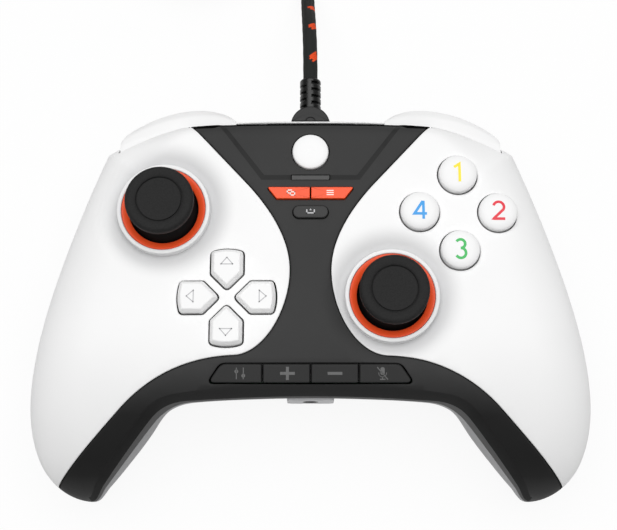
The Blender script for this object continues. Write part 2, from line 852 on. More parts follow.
def solid_plate(name, flat, faces, upper, lower, materials, tags=None, wall_tag=None, shade=None):
    """A closed plate over some triangles of a drawing, between two heights given for each point.

    A wall along its border takes the material that wall_tag gives for the wall's place.
    """
    used = np.unique(faces)
    index = -np.ones(len(flat), int)
    index[used] = np.arange(len(used))
    faces = index[faces]
    flat, upper, lower = flat[used], upper[used], lower[used]
    merged = np.abs(upper - lower) < 1e-3
    low_id = np.where(merged, np.arange(len(flat)), len(flat) + np.cumsum(~merged) - 1)
    points = np.vstack([np.column_stack([flat, upper]), np.column_stack([flat, lower])[~merged]])
    edges = dict.fromkeys((face[k], face[(k + 1) % 3]) for face in faces for k in range(3))
    made = [tuple(f) for f in faces]
    marks = list(tags) if tags is not None else [0] * len(made)
    for face in faces:
        if not np.all(merged[face]):
            made.append(tuple(low_id[face[::-1]]))
            marks.append(0)
    for a, b in edges:
        if (b, a) in edges:
            continue
        wall = [a, low_id[a], low_id[b], b]
        ring = [v for i, v in enumerate(wall) if v != wall[i - 1]]
        if len(ring) > 2:
            made.append(tuple(int(v) for v in ring))
            marks.append(wall_tag((flat[a] + flat[b]) / 2) if wall_tag else 0)
    piece = mesh_object(name, points, made, materials, "housing", 40, marks)
    if shade is not None:
        shade = shade[used]
        layer = piece.data.attributes.new("shade", "FLOAT", "POINT")
        layer.data.foreach_set("value", np.concatenate([shade, shade[~merged]]))
    return piece


def bevel_drop(distance, radius):
    short = np.clip(radius - distance, 0, radius)
    return radius - np.sqrt(radius * radius - short * short)


def slot_line(depth):
    """Line at a depth inside the housing's rear edge, along the right bumper."""
    x = REAR_CURVE[:, 0]
    x = np.concatenate([[SLOT_FROM_X], x[(x > SLOT_FROM_X) & (x < SLOT_TO_X)], [SLOT_TO_X]])
    return np.column_stack([x, rear_edge_y(x) - depth])


def lip_line():
    """Where the front shell is cut back over a bumper: its height there is that of the slot's lip."""
    edge = slot_line(0.0)
    low, high = np.zeros(len(edge)), np.full(len(edge), 12.0)
    for _ in range(24):
        mid = (low + high) / 2
        tall = front_height(moved_in(edge, mid)) > SLOT_LIP_H
        high = np.where(tall, mid, high)
        low = np.where(tall, low, mid)
    return moved_in(edge, high)


DPAD_SPAN = 25.7
DPAD_KEY_W = 8.4
DPAD_TIP_X = 2.05
DPAD_RADII = (1.1, 0.9, 0.7, 0.7, 0.9)
DPAD_STEPS = 6


def key_outline(turn, grow=0.0):
    """Plan of a direction key: a point towards the middle and a bowed far end."""
    half = DPAD_KEY_W / 2 + grow
    reach = DPAD_SPAN / 2 + grow
    tip = DPAD_TIP_X - math.sqrt(2) * grow
    end = math.sqrt(reach * reach - half * half)
    points = [(tip, 0), (tip + half, -half), (end, -half), (end, half), (tip + half, half)]
    loop = filleted(points, [max(0.12, r + grow) for r in DPAD_RADII], DPAD_STEPS)
    split = 3 * (DPAD_STEPS + 1)
    far = loop[split - 1] + (loop[split] - loop[split - 1]) * np.linspace(0, 1, 10)[1:-1, None]
    loop = np.vstack([loop[:split], far, loop[split:]])
    bow = np.clip((loop[:, 0] - tip - half) / (end - tip - half), 0, 1) ** 4
    loop[:, 0] += bow * (np.sqrt(reach * reach - loop[:, 1] ** 2) - end)
    return loop @ spin(turn) + DPAD


KEY_TURNS = {"right": 0, "up": 90, "left": 180, "down": 270}
MENU_Y = middle("view_button")[1]
SHARE_Y = middle("share_button")[1]
MENU_HALF_H = 1.6
MENU_OUT_TOP = 11.6
MENU_OUT_LOW = 9.1
SHARE_W = 9.3
SHARE_H = 3.3
LIGHT_W = 10.2
LIGHT_H = 1.3
LOWER_Y = -23.2
LOWER_TILT = math.radians(12)
LOWER_HALF_H = 2.42
LOWER_CLEAR = 0.32
LOWER_KEY_GAP = 0.3
LOWER_KEY_R = 0.3
LOWER_LOW_R = 0.8
LOWER_TOP_R = 2.6
LOWER_TOP_X = (-23.4, -12.5, 0.0, 12.5, 23.4)
LOWER_LOW_X = (-26.6, -12.5, 0.0, 12.5, 26.6)
LOWER_NAMES = ("profile", "volume_up", "volume_down", "mic_mute")


def menu_outline(side, grow=0.0):
    loop = filleted([
        (side * 0.2, MENU_Y - MENU_HALF_H), (side * MENU_OUT_LOW, MENU_Y - MENU_HALF_H),
        (side * MENU_OUT_TOP, MENU_Y + MENU_HALF_H), (side * 0.2, MENU_Y + MENU_HALF_H),
    ], [0.12, 0.35, 0.35, 0.12], 4)
    return grown(loop, grow) if grow else loop


def share_outline(grow=0.0):
    half = (SHARE_W - SHARE_H) / 2
    r = SHARE_H / 2 + grow
    turns = np.linspace(-math.pi / 2, math.pi / 2, 17)
    right = [(half + r * math.cos(a), SHARE_Y + r * math.sin(a)) for a in turns]
    left = [(-x, 2 * SHARE_Y - y) for x, y in right]
    return np.array(right + left)


def light_outline(grow=0.0):
    w, h = LIGHT_W / 2 + grow, LIGHT_H / 2 + grow
    return filleted(rectangle(-w, LIGHT_Y - h, w, LIGHT_Y + h), 0.2, 3)


def lower_outline(index):
    """Plan of a lower button; only the row's own corners have the larger radii."""
    a, b = LOWER_TOP_X[index] + LOWER_KEY_GAP, LOWER_TOP_X[index + 1] - LOWER_KEY_GAP
    c, d = LOWER_LOW_X[index] + LOWER_KEY_GAP, LOWER_LOW_X[index + 1] - LOWER_KEY_GAP
    h = LOWER_HALF_H - 0.1
    radii = [LOWER_KEY_R] * 4
    if index == 0:
        radii[0], radii[3] = LOWER_LOW_R, LOWER_TOP_R
    if index == len(LOWER_NAMES) - 1:
        radii[1], radii[2] = LOWER_LOW_R, LOWER_TOP_R
    return filleted([(c, -h), (d, -h), (b, h), (a, h)], radii, 6)


LOWER_H = face_height(0, LOWER_Y)


def on_lower(points):
    """Points of the tilted row of lower buttons, from its own plane to the frame."""
    c, s = math.cos(LOWER_TILT), math.sin(LOWER_TILT)
    x, y, z = points[:, 0], points[:, 1], points[:, 2]
    return np.column_stack([x, LOWER_Y + y * c - z * s, LOWER_H + y * s + z * c])


def lower_opening():
    h = LOWER_HALF_H
    low, top = LOWER_LOW_X[-1], LOWER_TOP_X[-1]
    radii = [LOWER_LOW_R, LOWER_LOW_R, LOWER_TOP_R, LOWER_TOP_R]
    loop = filleted([(-low, -h), (low, -h), (top, h), (-top, h)], radii, 6)
    return on_lower(extended(dense(grown(loop, LOWER_CLEAR), 2.0), 0.0))[:, :2]


# Room around the controls in their openings
STICK_ROOM = 0.6
KEY_ROOM = 0.42
BUTTON_ROOM = 0.3
LENS_ROOM = 0.16
MENU_ROOM = 0.2


def front_holes():
    """Openings of the front: those of the side shells by side, and those of the trim."""
    left = [circle(LEFT_STICK, COLLAR_R + STICK_ROOM)]
    left += [key_outline(turn, KEY_ROOM) for turn in KEY_TURNS.values()]
    right = [circle(RIGHT_STICK, COLLAR_R + STICK_ROOM)]
    right += [circle(place, FACE_R + BUTTON_ROOM, 64) for place in FACE_PLACES]
    trim = [circle(GUIDE, GUIDE_R + BUTTON_ROOM, 64), light_outline(LENS_ROOM), share_outline(MENU_ROOM)]
    trim += [lower_opening(), menu_outline(-1, MENU_ROOM), menu_outline(1, MENU_ROOM)]
    return {"left": left, "right": right}, trim


WALL_SHARE_MID = 0.03
WALL_SHARE_MORE = 0.07
WALL_SHARE_RAMP = (30.0, 12.0)
BLACK_BAND = 0.85
BLACK_CORNER_X = 24.5


def inner_band(share):
    """Outline of a band along the inner edge, right side: its width is a share of the edge's radius."""
    edge = SILHOUETTE[INNER_BACK]
    line = edge + INWARD[INNER_BACK] * (share * waist_r(edge[:, 0]))[:, None]
    return np.vstack([edge, line[::-1]])


def edge_bands():
    """The trim's rounded inner edge and, lower on it, its pale side wall."""
    x = SILHOUETTE[INNER_BACK][:, 0]
    wall_share = WALL_SHARE_MID + WALL_SHARE_MORE * ramp(x, *WALL_SHARE_RAMP)
    return inner_band(np.full(len(x), EDGE_SHARE)), inner_band(wall_share)


def band_width(x):
    """Width of the black band along the trim's rear edge, broader at the corners."""
    return BLACK_BAND + BLACK_BAND * np.clip((x - BLACK_CORNER_X) / 2, 0, 1)


PANEL = np.array([(-12.9, LIGHT_Y), (12.9, LIGHT_Y), (26.6, TRIM_REAR_Y + 2), (-26.6, TRIM_REAR_Y + 2)])


def gap_tag(spot):
    """Walls in the gaps of a side shell are dark, but the one beside a bumper's outer end isn't."""
    return 0 if abs(abs(spot[0]) - SLOT_TO_X) < 0.05 else 1


# Places of the trim's materials in its list
TRIM_LOOKS = [TRIM_DARK, TRIM_BAND, TRIM_EDGE, BLACK_EDGE, TRIM_WALL]
PANEL_TAG, EDGE_TAG, BLACK_TAG, WALL_TAG = 1, 2, 3, 4


def black_tag(spot):
    return BLACK_TAG


def make_front():
    side_holes, trim_holes = front_holes()
    all_side_holes = side_holes["left"] + side_holes["right"]
    panel_in, panel_out = grown(PANEL, -PANEL_BAND / 2), grown(PANEL, PANEL_BAND / 2)
    lip = lip_line()
    lip_front = moved_in(lip, band_width(lip[:, 0]))
    slot = slot_line(SLOT_DEPTH)
    edge_band, wall_band = edge_bands()
    corner_x = TRIM_CORNER[0] + TRIM_GAP
    rear_y = TRIM_REAR_Y - TRIM_GAP

    drawing = Drawing()
    add_edge_loops(drawing, edge_r, waist_r, EDGE_POWER, EDGE_STEPS)
    for step in BEVEL_STEPS:
        drawing.add(grown(TRIM, -TRIM_GAP - step * BEVEL_TRIM), closed=True)
        drawing.add(grown(TRIM, TRIM_GAP + step * BEVEL_SHELL), closed=True)
        for loop in all_side_holes:
            drawing.add(grown(loop, step * BEVEL_SHELL), closed=True)
        for loop in trim_holes:
            drawing.add(grown(loop, step * BEVEL_KEY_HOLE), closed=True)
    for sign in (1, -1):
        bands = [band[len(band) // 2:] for band in (edge_band, wall_band)]
        for line in (lip, lip_front, slot, *bands):
            drawing.add(line * [sign, 1])
        for x in (SLOT_FROM_X, SLOT_TO_X, corner_x, BRIDGE_X):
            drawing.add_column(sign * x, TRIM_REAR_Y - 8)
    drawing.add(straight((-BRIDGE_X, BRIDGE_Y), (BRIDGE_X, BRIDGE_Y), 0.8))
    across = np.arange(-TRIM_CORNER[0], TRIM_CORNER[0] + 0.1, 0.4)
    for step in REAR_STEPS:
        drawing.add(extended(across, rear_y - step * BEVEL_REAR))
    drawing.add(np.column_stack([across, rear_y - band_width(np.abs(across))]))
    drawing.add(dense(panel_in, 1.5), closed=True)
    drawing.add(dense(panel_out, 1.5), closed=True)
    for stick in (LEFT_STICK, RIGHT_STICK):
        for share in DISH_RINGS:
            drawing.add(circle(stick, COLLAR_R + COLLAR_WALL + share * DISH_WIDTH, 96), closed=True)
    drawing.fill()
    flat, faces = drawing.triangles()

    middles = flat[faces].mean(axis=1)
    on_body = inside(middles, SILHOUETTE)
    open_body = on_body & ~inside(right_half(middles), up_to_rear(lip))
    in_trim = open_body & inside(middles, grown(TRIM, -TRIM_GAP)) & ~in_any(middles, trim_holes)
    behind = (np.abs(middles[:, 0]) < corner_x) & (middles[:, 1] > TRIM_REAR_Y - 1)
    in_side = open_body & ~inside(middles, grown(TRIM, TRIM_GAP)) & ~behind & ~in_any(middles, all_side_holes)
    in_bridge = on_body & (np.abs(middles[:, 0]) < BRIDGE_X) & (middles[:, 1] > BRIDGE_Y)

    plain = front_height(flat)
    under = front_height(flat, WALL)
    in_slot = inside(right_half(flat), up_to_rear(slot))
    under = np.where(in_slot, np.maximum(under, SLOT_LIP_H), under)
    under = np.minimum(under, plain)
    dish, soil = np.zeros(len(flat)), np.zeros(len(flat))
    for stick in (LEFT_STICK, RIGHT_STICK):
        r = np.linalg.norm(flat - stick, axis=1)
        fade = 1 - np.clip((r - COLLAR_R - COLLAR_WALL) / DISH_WIDTH, 0, 1)
        dish = np.maximum(dish, DISH_DEPTH * fade**2)
        soil = np.maximum(soil, fade**1.6)
    trim_edge = line_distance(flat, TRIM) - TRIM_GAP

    for name, sign in (("left", -1), ("right", 1)):
        share = in_side & (middles[:, 0] * sign > 0)
        edge = np.minimum(trim_edge, loop_distance(flat, side_holes[name]))
        edge = np.minimum(edge, line_distance(flat, lip * [sign, 1]))
        top = plain - dish - bevel_drop(np.maximum(edge, 0), BEVEL_SHELL)
        top = np.maximum(top, under)
        piece = solid_plate(
            name + "_shell", flat, faces[share], top, np.minimum(under - dish, top), [WHITE, GAP],
            wall_tag=gap_tag, shade=soil,
        )
        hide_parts(name + "_front_shell")

    panel = np.where(inside(flat, panel_out), line_distance(flat, panel_out, True), 0.0)
    panel = PANEL_DEPTH * np.clip(panel / PANEL_BAND, 0, 1)
    panel = np.where(flat[:, 1] < LIGHT_Y - PANEL_BAND, 0.0, panel)
    top = plain - dish - panel - bevel_drop(np.maximum(trim_edge, 0), BEVEL_TRIM)
    top = top - bevel_drop(loop_distance(flat, trim_holes), BEVEL_KEY_HOLE)
    top -= bevel_drop(np.maximum(rear_y - flat[:, 1], 0), BEVEL_REAR)
    top = np.maximum(top, under)
    spots = middles[in_trim]
    near = right_half(spots)
    tags = np.zeros(len(spots), int)
    in_panel_band = inside(spots, panel_out) & ~inside(spots, panel_in)
    tags[in_panel_band & (spots[:, 1] > LIGHT_Y - PANEL_BAND)] = PANEL_TAG
    side_edge = line_distance(spots, TRIM) < TRIM_GAP + BEVEL_TRIM
    tags[side_edge | inside(near, edge_band)] = EDGE_TAG
    tags[inside(near, wall_band)] = WALL_TAG
    rear_band = spots[:, 1] > rear_y - band_width(near[:, 0])
    tags[rear_band | inside(near, np.vstack([lip, lip_front[::-1]]))] = BLACK_TAG
    piece = solid_plate(
        "centre_trim", flat, faces[in_trim], top, np.minimum(under - dish, top), TRIM_LOOKS,
        tags, wall_tag=black_tag,
    )
    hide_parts("centre_frame")

    edge = np.abs(flat[:, 1] - BRIDGE_Y)
    top = np.maximum(plain - bevel_drop(edge, BEVEL_SHELL), under)
    low = np.minimum(under, top)
    piece = solid_plate("rear_strip", flat, faces[in_bridge], top, low, WHITE)
    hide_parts("rear_bridge")


TRIGGER_TURN = -13.2
TRIGGER_AT = np.array([HALF_W - 36.5, REAR_Y - 9.6])
TRIGGER_HALF = 11.7
SCREW_PLACES = [
    (sign * x, y) for x, y in ((HALF_W - 9.5, -GRIP_REACH + 12.3), (HALF_W - 14.5, 5.0)) for sign in (1, -1)
] + [(0.0, 8.0), (0.0, -10.0)]
SCREW_HOLE_R = 2.9
BEVEL_BAY = 0.5
BEVEL_SCREW = 0.4
BACK_STEPS = 14
SLOT_FLOOR_H = REAR_SEAM_H - 6


def make_back():
    slot = slot_line(SLOT_DEPTH)
    bay = np.array(rectangle(-TRIGGER_HALF, -2.5, TRIGGER_HALF, 30)) @ spin(TRIGGER_TURN) + TRIGGER_AT
    holes = [circle(place, SCREW_HOLE_R, 40) for place in SCREW_PLACES]
    drawing = Drawing()
    add_edge_loops(drawing, back_r, back_r, BACK_POWER, BACK_STEPS)
    for sign in (1, -1):
        for step in BEVEL_STEPS:
            drawing.add(dense(grown(bay, step * BEVEL_BAY) * [sign, 1], 1.2), closed=True)
        drawing.add(slot * [sign, 1])
        for x in (SLOT_FROM_X, SLOT_FROM_X - 0.1, SLOT_TO_X, SLOT_TO_X + 0.1):
            drawing.add_column(sign * x, 36)
    for loop in holes:
        for step in BEVEL_STEPS:
            drawing.add(grown(loop, step * BEVEL_SCREW), closed=True)
    drawing.fill()
    flat, faces = drawing.triangles()
    middles = flat[faces].mean(axis=1)
    kept = inside(middles, SILHOUETTE) & ~inside(right_half(middles), bay) & ~in_any(middles, holes)
    in_slot = inside(right_half(flat), up_to_rear(slot))
    outer, inner = (
        np.where(in_slot, np.minimum(height, SLOT_FLOOR_H), height)
        for height in (back_height(flat), back_height(flat, WALL))
    )
    rise = bevel_drop(line_distance(right_half(flat), bay, True), BEVEL_BAY)
    rise = np.maximum(rise, bevel_drop(loop_distance(flat, holes), BEVEL_SCREW))
    outer = np.minimum(outer + rise, np.maximum(inner, outer))
    inner = np.maximum(inner, outer)
    piece = solid_plate("back_cover", flat, faces[kept], inner, outer, GREY)
    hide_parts("back_shell")


BOSS_Y = (25.5, WAIST_REACH + 0.52)
BOSS_HALF_W = 6.4
BOSS_LOW_H = 17.0
BOSS_TOP_H = 25.2
BOSS_CHAMFER = 0.4
MOUTH_H = 21.0
MOUTH_R = 2.2


def make_boss():
    """Boss around the mouth of the headset socket, at the bottom edge."""
    turns = np.linspace(0.02, 2 * math.pi - 0.02, 33)
    ring = [(MOUTH_R * math.sin(a), MOUTH_H - MOUTH_R * math.cos(a)) for a in turns]
    w, low, top, c = BOSS_HALF_W, BOSS_LOW_H, BOSS_TOP_H, BOSS_CHAMFER
    right = [(ring[0][0], low), (w - 1, low), (w, low + 1), (w, top - c), (w - c, top)]
    left = [(-x, z) for x, z in right[:0:-1]] + [(ring[-1][0], low)]
    outline = np.array(right + left + ring[::-1])
    loops = [np.column_stack([outline[:, 0], np.full(len(outline), -y), outline[:, 1]]) for y in BOSS_Y]
    capped("socket_boss", loops, BOSS, "housing")


# Cord: the lead, the coil and the tail are one line, repeated from the solids
CORD_D = 4.0
CORD_H = FACE_H - 12
COIL_TURNS = 3.6875
COIL_LAYERS = 4
COIL_RINGS = 32
COIL_PITCH = CORD_D + 0.4
COIL_STEP = CORD_D + 0.35
COIL_INNER_R = 19.8
COIL_OUTER_R = COIL_INNER_R + COIL_PITCH * COIL_TURNS
COIL_LOW_H = 1.2 + 0.2 + CORD_D / 2
COIL_TOP_H = COIL_LOW_H + (COIL_LAYERS - 1) * COIL_STEP
COIL_CENTER = (-1.2 - COIL_OUTER_R, 110 + COIL_OUTER_R)
COIL_ENTRY = shifted(COIL_CENTER, COIL_OUTER_R, 0)
COIL_EXIT = shifted(COIL_CENTER, 0, COIL_OUTER_R)
PLUG_H = 4.2


def spline(points, steps):
    points = np.array(points, float)
    last = len(points) - 1
    out = []
    for i in range(last):
        a, b = points[max(0, i - 1)], points[i]
        c, d = points[i + 1], points[min(last, i + 2)]
        for k in range(steps):
            t = k / steps
            bend = (2 * a - 5 * b + 4 * c - d) * t * t + (3 * b - a - 3 * c + d) * t**3
            out.append(0.5 * (2 * b + (c - a) * t + bend))
    return out


def cord_line():
    lead = [
        (0, REAR_Y - 4, CORD_H), (0, 52, CORD_H), (0, 64, CORD_H), (-0.1, 74, CORD_H - 1.2),
        (-0.4, 84, CORD_H - 6), (-0.7, 94, 15.5), (-0.9, 104, 7.5), (-1.1, 114, COIL_LOW_H + 0.8),
        (-1.2, 124, COIL_LOW_H), (*COIL_ENTRY, COIL_LOW_H),
    ]
    x, y = COIL_EXIT
    tail = [
        (x, y, COIL_TOP_H), (x - 8, y + 0.5, COIL_TOP_H - 0.1), (x - 15, y + 1.2, COIL_TOP_H - 1.5),
        (x - 24, y + 1.7, COIL_TOP_H - 6.4), (x - 34, y + 2, PLUG_H + 1.6), (x - 42, y + 2, PLUG_H),
        (x - 50, y + 2, PLUG_H),
    ]
    steps = round(COIL_TURNS * COIL_RINGS)
    climb = COIL_RINGS // 2
    coil = []
    turned = 0
    for layer in range(COIL_LAYERS):
        inward = layer % 2 == 0
        last = layer == COIL_LAYERS - 1
        for s in range(steps + (0 if last else climb)):
            angle = 2 * math.pi * (turned + s) / COIL_RINGS
            height = COIL_LOW_H + layer * COIL_STEP
            if s < steps:
                reach = COIL_PITCH * COIL_TURNS * s / steps
                radius = COIL_OUTER_R - reach if inward else COIL_INNER_R + reach
            else:
                t = (s - steps) / climb
                dip = 0.35 * COIL_PITCH * math.sin(math.pi * t)
                radius = COIL_INNER_R - dip if inward else COIL_OUTER_R + dip
                height += float(smooth(t)) * COIL_STEP
            coil.append((
                COIL_CENTER[0] + radius * math.cos(angle), COIL_CENTER[1] + radius * math.sin(angle), height,
            ))
        turned += steps + climb
    return np.array(spline(lead, 6) + coil + spline(tail, 6) + [tail[-1]])


def resampled(line, step):
    smooth_line = np.array(spline(line, 6) + [line[-1]])
    gaps = np.linalg.norm(np.diff(smooth_line, axis=0), axis=1)
    run = np.concatenate([[0], np.cumsum(gaps)])
    spots = np.linspace(0, run[-1], round(run[-1] / step) + 1)
    return np.column_stack([np.interp(spots, run, smooth_line[:, k]) for k in range(3)]), run[-1]


BRAID_D = 4.2
BRAID_RIPPLE = 0.025
BRAID_TWIST = 1.4
CORD_SIDES = 16
CORD_RING_STEP = 1.1
RELIEF_R = 3.0
RELIEF_ROUND = 0.5
RELIEF_SIDES = 72
RELIEF_ROWS = 130
RELIEF_PITCH = 2.05
# Each slot: its y, the angle of its middle and the angle from there to its ends
RELIEF_SLOTS = [(61.25 - RELIEF_PITCH * i, 0.0, 82.0) for i in range(4)]
RELIEF_SLOTS += [(60.2 - RELIEF_PITCH * i, 180.0, 66.0) for i in range(4)]
SLOT_HALF_W = 0.36
SLOT_CUT = 0.9


def make_relief():
    """Strain relief: a rubber sleeve with staggered slots cut into its two sides."""
    start = REAR_Y + 1.4
    degrees = np.linspace(0, 360, RELIEF_SIDES, endpoint=False)
    bore = np.full(RELIEF_SIDES, CORD_D / 2 - 0.2)
    rows = [(start, bore)]
    for y in np.linspace(start, RELIEF_END_Y, RELIEF_ROWS):
        end = max(0.0, 1 - (RELIEF_END_Y - y) / RELIEF_ROUND)
        radius = RELIEF_R - RELIEF_ROUND * (1 - math.sqrt(1 - end * end))
        for at, middle_angle, spread in RELIEF_SLOTS:
            off = np.abs((degrees - middle_angle + 180) % 360 - 180)
            cut = smooth((SLOT_HALF_W + 0.1 - abs(y - at)) / 0.2) * smooth((spread + 4 - off) / 8)
            radius = radius - SLOT_CUT * cut
        rows.append((y, radius))
    rows.append((RELIEF_END_Y, bore))
    turn = np.radians(degrees)
    loops = [
        np.column_stack([r * np.cos(turn), np.full(len(turn), y), CORD_H + r * np.sin(turn)])[::-1]
        for y, r in rows
    ]
    piece = capped("cord_relief", loops, RELIEF, "housing", 50)
    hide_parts("strain_relief")
    return piece


COLLAR_DISC_R = 5.5
COLLAR_DISC_TOP = CORD_H + 4.4


def make_collar():
    """Half disc where the cord leaves the housing, with a black edge and a small moulded arc."""
    first = math.asin(0.9 / COLLAR_DISC_R)
    turns = np.linspace(first, math.pi - first, 49)
    disc = np.column_stack([COLLAR_DISC_R * np.cos(turns), REAR_Y - 0.8 + COLLAR_DISC_R * np.sin(turns)])
    rows = [(0, 0.5), (0.05, 0.2), (0.12, 0.05), (0.35, 0.0)]
    loops = key_loops(shrinking(disc), CORD_H - 4.2, COLLAR_DISC_TOP, rows)
    piece = capped("cord_collar", loops, [TRIM_DARK, BLACK], "housing", tag=flange_tag)
    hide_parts("cable_collar")
    arc_line = stroke(arc((0, REAR_Y), 1.35, 8, 172, 24), 0.2)
    mark("collar_arc", arc_line, flat_at(0, 0, COLLAR_DISC_TOP), BLACK, "housing")


def make_cord():
    line, length = resampled(cord_line(), CORD_RING_STEP)
    count = len(line)
    tangent = unit(np.gradient(line, axis=0))
    across = unit(np.cross(tangent, [0.0, 0.0, 1.0]))
    up = np.cross(across, tangent)
    sides = []
    for k in range(CORD_SIDES):
        a = 2 * math.pi * k / CORD_SIDES
        ripple = 1 - BRAID_RIPPLE * (1 + np.cos(4 * a + np.arange(count) * BRAID_TWIST)) / 2
        sides.append(line + BRAID_D / 2 * ripple[:, None] * (math.cos(a) * across + math.sin(a) * up))
    piece = capped("cord", np.stack(sides, axis=1), BRAID, "housing", 80)
    uv = piece.data.uv_layers.new(name="run")
    run = length * MM / (count - 1)
    for polygon in piece.data.polygons:
        wrap = {v % CORD_SIDES for v in polygon.vertices} == {0, CORD_SIDES - 1}
        for loop in polygon.loop_indices:
            vertex = piece.data.loops[loop].vertex_index
            k = vertex % CORD_SIDES
            k = CORD_SIDES if wrap and k == 0 else k
            uv.data[loop].uv = (k / CORD_SIDES, vertex // CORD_SIDES * run)
    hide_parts("cord_lead", "cord_coil", "cord_tail")
    make_relief()
    make_collar()


# Controls
CAP_R = 9.0
CAP_GROOVE_R = 5.9
RING_INNER_R = 9.3


def make_sticks():
    for side, place in (("left", LEFT_STICK), ("right", RIGHT_STICK)):
        low, high = corners(side + "_stick_cap")
        h = high[2] - low[2]
        groove = CAP_GROOVE_R
        profile = [
            (0, 0.9), (3.2, 0.9), (3.25, 0.0), (CAP_R - 1.6, 0.0), (CAP_R - 0.4, 0.45), (CAP_R, 1.2),
            (CAP_R, h - 1.3), *arc((CAP_R - 1.1, h - 1.1), 1.1, 0, 90, 6), (CAP_R - 2.4, h - 0.06),
            (groove + 0.22, h - 0.3), (groove + 0.16, h - 0.36), (groove + 0.1, h - 0.75),
            (groove - 0.1, h - 0.75), (groove - 0.16, h - 0.38), (groove - 0.22, h - 0.34),
            (3.2, h - 0.5), (1.6, h - 0.58), (0, h - 0.6),
        ]
        body = side + "_stick"
        cap = lathe(side + "_thumb_cap", profile, (*place, low[2]), RUBBER, body, 128)
        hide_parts(side + "_stick_cap")
        z = face_height(*place)
        r, q = COLLAR_R - 0.1, RING_INNER_R
        ring = [
            (r, -2.4), (r, 0.0), (r - 0.1, 0.1), (r - 0.3, 0.12), (q + 0.4, -0.42), (q + 0.12, -0.6),
            (q, -1.05), (q + 0.2, -1.5), (q + 1.2, -2.4),
        ]
        piece = lathe(side + "_ring", ring, (*place, z), ORANGE, "housing", 128)
        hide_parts("stick_rings")
        out = COLLAR_R + COLLAR_WALL
        collar = [
            (COLLAR_R, -4.2), (COLLAR_R, 0.1), (COLLAR_R + 0.1, 0.27), (COLLAR_R + 0.3, 0.35),
            (out - 0.4, 0.35), (out - 0.12, 0.22), (out, -0.05), (out, -4.2),
        ]
        lathe(side + "_collar", collar, (*place, z), WHITE, "housing", 128)


DOME_DROP = 0.42


def make_face_buttons():
    for name, place in zip(FACE_NAMES, FACE_PLACES):
        low, high = corners(name + "_button")
        r = FACE_R
        t = high[2] - low[2]
        dome = [(r * s, t - DOME_DROP * s * s) for s in (0.78, 0.6, 0.4, 0.2)]
        profile = [
            (0, 0), (3, 0), (3, 3.6), (r + 0.6, 3.6), (r + 0.6, 4.6), (r, 4.6), (r, t - 1.35),
            *arc((r - 0.85, t - 1.35), 0.85, 0, 62, 6), *dome, (0, t),
        ]
        body = name + "_button_body"
        piece = lathe(name + "_dome", profile, (*place, low[2]), WHITE, body, 96)
        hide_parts(name + "_button")
        make_numeral(name, place, high[2], body)


def ribbon(line, width):
    """Quads of a stroke along a finely divided line, with mitred corners."""
    line = np.array(line, float)
    fine = np.vstack([line[:1]] + [straight(a, b, 0.35) for a, b in zip(line[:-1], line[1:])])
    along = unit(np.diff(fine, axis=0))
    normal = np.column_stack([-along[:, 1], along[:, 0]])
    before, after = np.vstack([normal[:1], normal]), np.vstack([normal, normal[-1:]])
    side = (before + after) / np.maximum(1 + np.sum(before * after, axis=1), 0.4)[:, None] * width / 2
    left, right = fine + side, fine - side
    return [[right[i], right[i + 1], left[i + 1], left[i]] for i in range(len(fine) - 1)]


NUMERAL_STROKE = 0.72
NUMERALS = {
    "north": [[(-1.15, 1.55), (0.3, 2.5), (0.3, -2.5)]],
    "east": [[*arc((0, 1.1), 1.4, 165, -35, 14), (-1.5, -2.2), (1.6, -2.2)]],
    "south": [arc((-0.1, 1.25), 1.2, 150, -90, 14), arc((-0.1, -1.25), 1.35, 90, -150, 14)],
    "west": [[(0.8, -2.5), (0.8, 2.5)], [(0.65, 2.4), (-1.6, -1.05), (1.7, -1.05)]],
}


def make_numeral(name, place, height, body):
    def on_dome(points):
        reach = np.linalg.norm(points[:, :2], axis=1)
        rise = height - DOME_DROP * (reach / FACE_R) ** 2
        return points + np.column_stack([np.tile(place, (len(points), 1)), rise])

    quads = [quad for line in NUMERALS[name] for quad in ribbon(line, NUMERAL_STROKE)]
    mark(name + "_numeral", quads, on_dome, NUMERAL_INKS[name], body)


KEY_EDGE = [(0.0, 1.25), (0.08, 1.05), (0.2, 0.9), (0.7, 0.2), (0.85, 0.06), (0.98, 0.0), (1.1, 0.0)]


def make_keys():
    high = top_of("up_key")
    for name, turn in KEY_TURNS.items():
        loops = key_loops(lambda inset: key_outline(turn, -inset), high - 6, high, KEY_EDGE)
        piece = capped(name + "_arrow_key", loops, WHITE, name + "_key_body")
        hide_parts(name + "_key")


LOWER_TOP = 0.42
LOWER_EDGE = [(-0.24, 3.4), (-0.24, 1.7), (0.0, 1.65), *rounded(0.16)]


